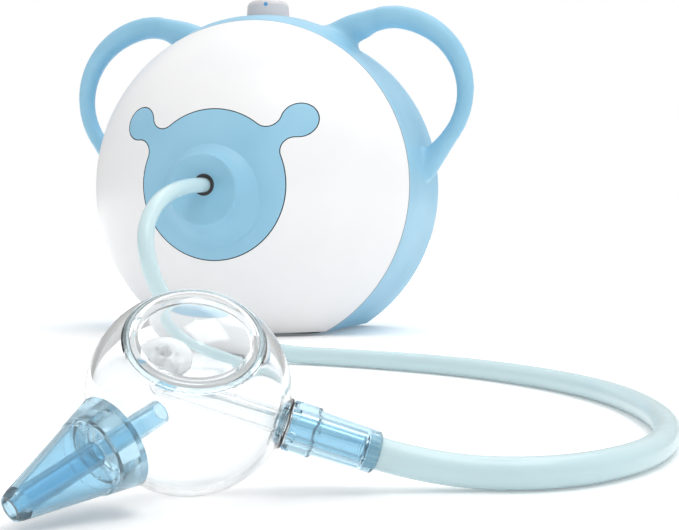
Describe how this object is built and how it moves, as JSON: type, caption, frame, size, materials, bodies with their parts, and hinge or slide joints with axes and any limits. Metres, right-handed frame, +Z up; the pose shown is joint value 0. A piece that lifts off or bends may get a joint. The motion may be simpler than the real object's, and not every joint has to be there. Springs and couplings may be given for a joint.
{
  "type": "nasal aspirator",
  "caption": "Mains nasal aspirator shaped like a bear's head, with ear handles, speed knob, soft hose and a clear ball collector with a cone nozzle.",
  "frame": {"origin": "middle of the rubber pad under the base of the suction unit, on the surface it stands on", "axes": "+Z up, the face and its nose look along -Y, +X to the face's own left side seen from the front as right"},
  "size_m": [0.3814, 0.5587, 0.2066],
  "materials": {
    "white_shell": "glossy moulded ABS",
    "blue_shell": "satin-gloss moulded ABS, light blue",
    "blue_panel": "satin moulded ABS, light blue",
    "black_rubber": "matt rubber",
    "clear_plastic": "clear moulded polycarbonate",
    "blue_clear": "translucent light-blue polypropylene",
    "hose_silicone": "translucent light-blue silicone",
    "dial_grey": "satin silver-grey plastic",
    "grey_plastic": "moulded grey plastic",
    "white_plastic": "moulded natural plastic",
    "zinc_steel": "zinc-plated steel",
    "lamination_steel": "stamped electrical steel",
    "aluminium": "die-cast or extruded aluminium",
    "copper_wire": "enamelled copper",
    "brass": "turned brass",
    "carbon": "pressed carbon",
    "foam": "open-cell foam",
    "filter_felt": "pleated felt",
    "board_green": "glass-fibre circuit board",
    "component_yellow": "film capacitor case",
    "component_black": "epoxy package",
    "wire_sheath": "PVC insulation"
  },
  "bodies": {
    "suction_unit": {"front_shell": "white_shell", "face_panel": "blue_panel", "nose_seal": "black_rubber", "inlet_nipple": "white_plastic", "ear_handles": "blue_shell", "rim_housing": "blue_shell", "rear_cover": "blue_shell", "base_pad": "black_rubber", "cover_screws": "zinc_steel", "chassis_plate": "grey_plastic", "chassis_screws": "zinc_steel", "shell_screws": "zinc_steel", "front_mount": "black_rubber", "fan_housing": "aluminium", "diffuser_plate": "aluminium", "motor_bearings": "zinc_steel", "motor_frame": "aluminium", "stator_core": "lamination_steel", "field_coils": "copper_wire", "brush_holders": "brass", "carbon_brushes": "carbon", "rear_mount": "black_rubber", "inlet_grommet": "black_rubber", "filter_housing": "white_plastic", "filter_cap": "white_plastic", "filter_disc": "filter_felt", "intake_tube": "white_plastic", "muffler_foam": "foam", "circuit_board": "board_green", "board_screws": "zinc_steel", "film_capacitor": "component_yellow", "mains_choke": "copper_wire", "heatsink": "aluminium", "triac": "component_black", "fuse_link": "brass", "terminal_block": "white_plastic", "inlet_socket": "component_black", "inlet_pins": "brass", "dial_bracket": "grey_plastic", "potentiometer": "zinc_steel", "dial_nut": "brass", "mains_leads": "wire_sheath", "motor_leads": "wire_sheath", "hose_connector": "blue_clear", "suction_hose": "hose_silicone"},
    "dial": {"control_knob": "dial_grey", "knob_mark": "blue_panel", "dial_shaft": "brass"},
    "rotor": {"motor_shaft": "zinc_steel", "impeller": "aluminium", "impeller_nut": "zinc_steel", "armature_core": "lamination_steel", "armature_windings": "copper_wire", "commutator": "copper_wire"},
    "collector": {"collector_bowl": "clear_plastic", "lid_gasket": "hose_silicone", "suction_pipe": "clear_plastic", "baffle_cap": "white_plastic"},
    "lid": {"bowl_lid": "clear_plastic"},
    "nozzle_tip": {"nozzle": "blue_clear"}
  },
  "joints": [
    {"name": "dial_turn", "type": "hinge", "parent": "suction_unit", "child": "dial", "pos_m": [0, 0.008, 0.2], "axis": [0, 0, -1], "range_deg": [0, 270]},
    {"name": "rotor_spin", "type": "hinge", "parent": "suction_unit", "child": "rotor", "pos_m": [0, 0, 0.0872], "axis": [0, 1, 0], "continuous": true},
    {"name": "collector_pull", "type": "slide", "parent": "suction_unit", "child": "collector", "axis": [-0.8804, -0.3471, 0.3231], "range_m": [0, 0.019]},
    {"name": "lid_lift", "type": "slide", "parent": "collector", "child": "lid", "axis": [0.3135, -0.5755, 0.7553], "range_m": [0, 0.008]},
    {"name": "nozzle_pull", "type": "slide", "parent": "collector", "child": "nozzle_tip", "axis": [-0.437, -0.8171, -0.376], "range_m": [0, 0.006]}
  ]
}
